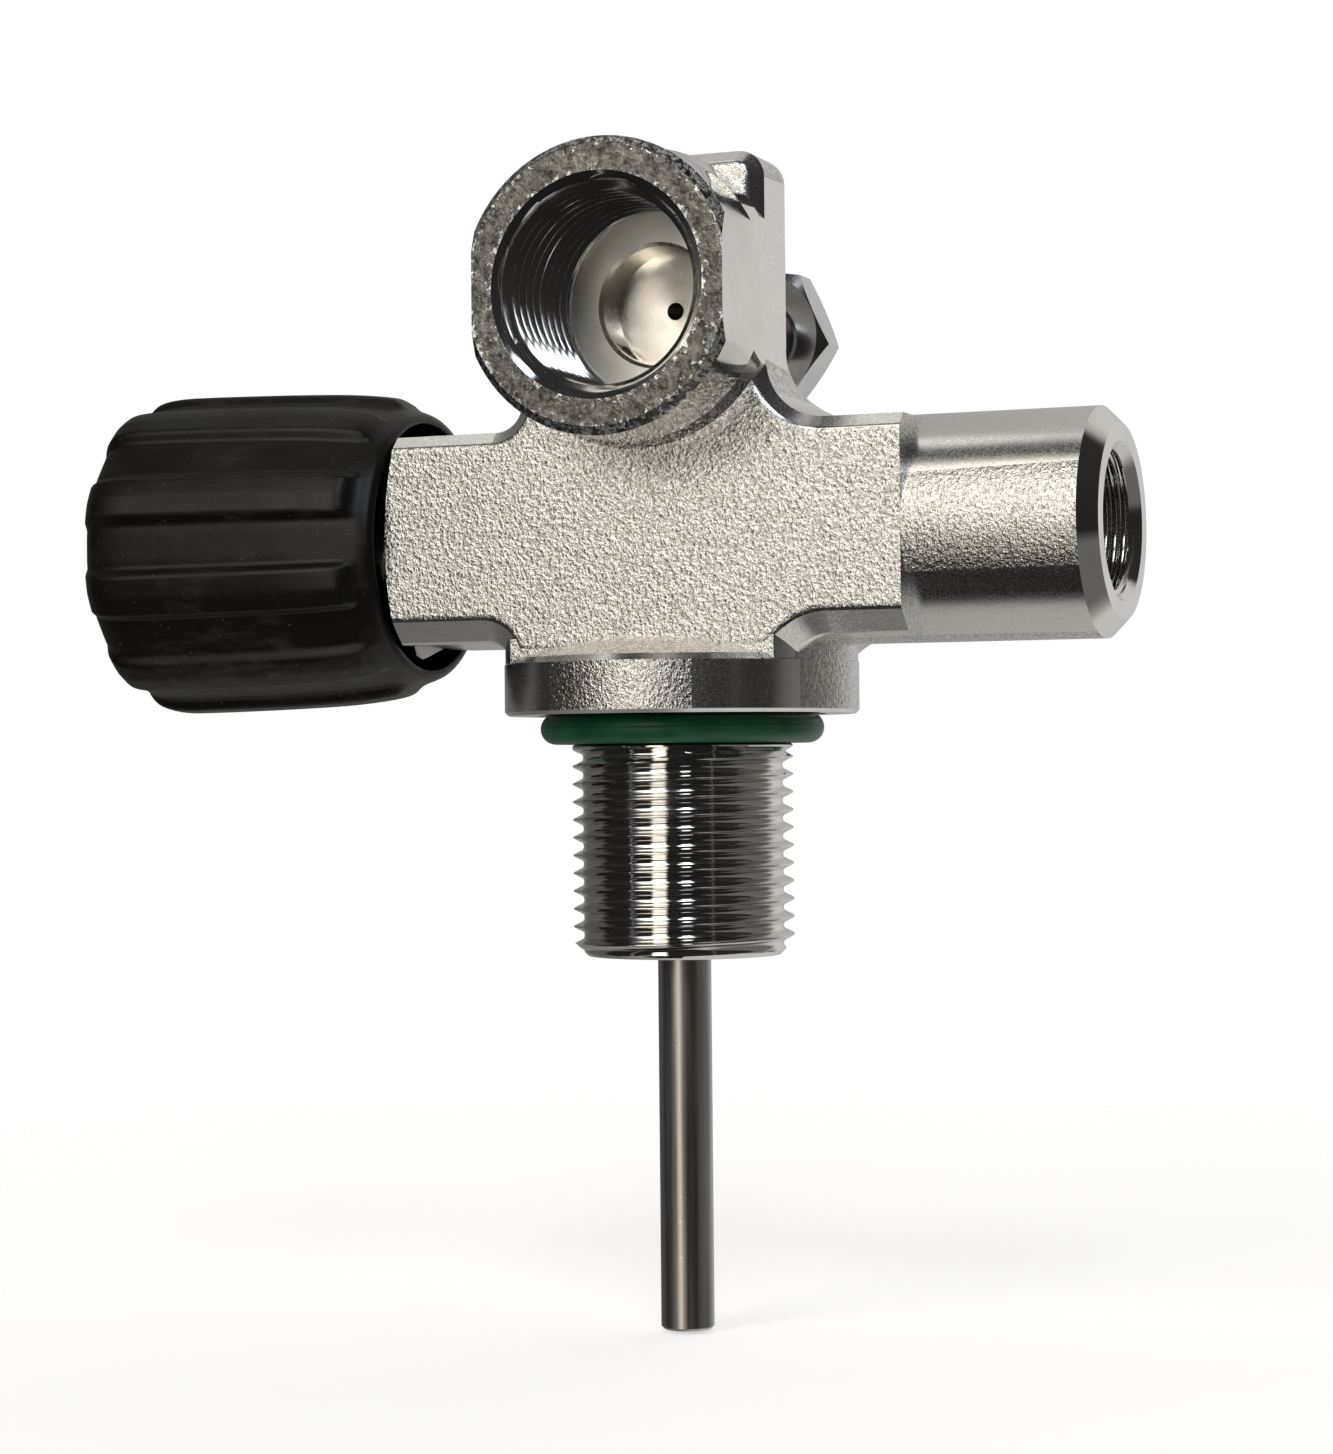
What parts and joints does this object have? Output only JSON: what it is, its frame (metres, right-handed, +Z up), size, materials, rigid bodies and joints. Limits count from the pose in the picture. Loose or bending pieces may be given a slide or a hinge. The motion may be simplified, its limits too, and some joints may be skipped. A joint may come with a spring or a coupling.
{
  "type": "cylinder valve",
  "caption": "Breathing-gas cylinder valve: forged body with a screwed neck, dip tube, screwed outlet, side port and a rubber handwheel that drives the seat.",
  "frame": {"origin": "on the neck's axis, in the plane of the collar's underside", "axes": "+Z up along the neck's axis towards the outlet, -Y out of the outlet's mouth, +X out of the side port, with the handwheel at -X"},
  "size_m": [0.12, 0.054, 0.131],
  "materials": {
    "nickel": "nickel-chromed brass, shot-blasted on forged faces and bright where machined",
    "green_seal": "satin moulded rubber",
    "black_seal": "satin moulded rubber",
    "tube_steel": "drawn tube, slightly dull",
    "copper": "soft annealed copper",
    "brass": "turned",
    "steel": "turned stainless steel",
    "seat_plastic": "white nylon",
    "core_plastic": "moulded nylon",
    "grip_rubber": "satin moulded rubber, lightly scuffed"
  },
  "bodies": {
    "valve": {"valve_body": "nickel", "neck_o_ring": "green_seal", "dip_tube": "tube_steel", "rear_plug": "nickel", "rear_plug_gasket": "copper", "bonnet_nut": "nickel", "bonnet_o_ring": "black_seal", "stem_o_ring_inner": "black_seal", "stem_o_ring_outer": "black_seal", "backup_ring_inner": "seat_plastic", "backup_ring_outer": "seat_plastic", "thrust_washer": "seat_plastic"},
    "handwheel": {"drive_spindle": "steel", "handwheel_grip": "grip_rubber", "handwheel_core": "core_plastic", "handwheel_cap": "core_plastic", "hub_washer": "steel", "hub_nut": "steel", "slip_washer": "seat_plastic", "handwheel_spring": "steel"},
    "seat": {"seat_carrier": "brass", "seat_insert": "seat_plastic", "seat_retaining_ring": "steel"}
  },
  "joints": [
    {"name": "handwheel_turn", "type": "hinge", "parent": "valve", "child": "handwheel", "pos_m": [-0.05, 0, 0.02], "axis": [-1, 0, 0], "range_deg": [0, 900]},
    {"name": "seat_travel", "type": "slide", "parent": "handwheel", "child": "seat", "axis": [-1, 0, 0], "range_m": [0, 0.0025]}
  ],
  "couplings": [
    {"joint": "seat_travel", "follows": "handwheel_turn", "m_per_rad": 0.00015915}
  ]
}
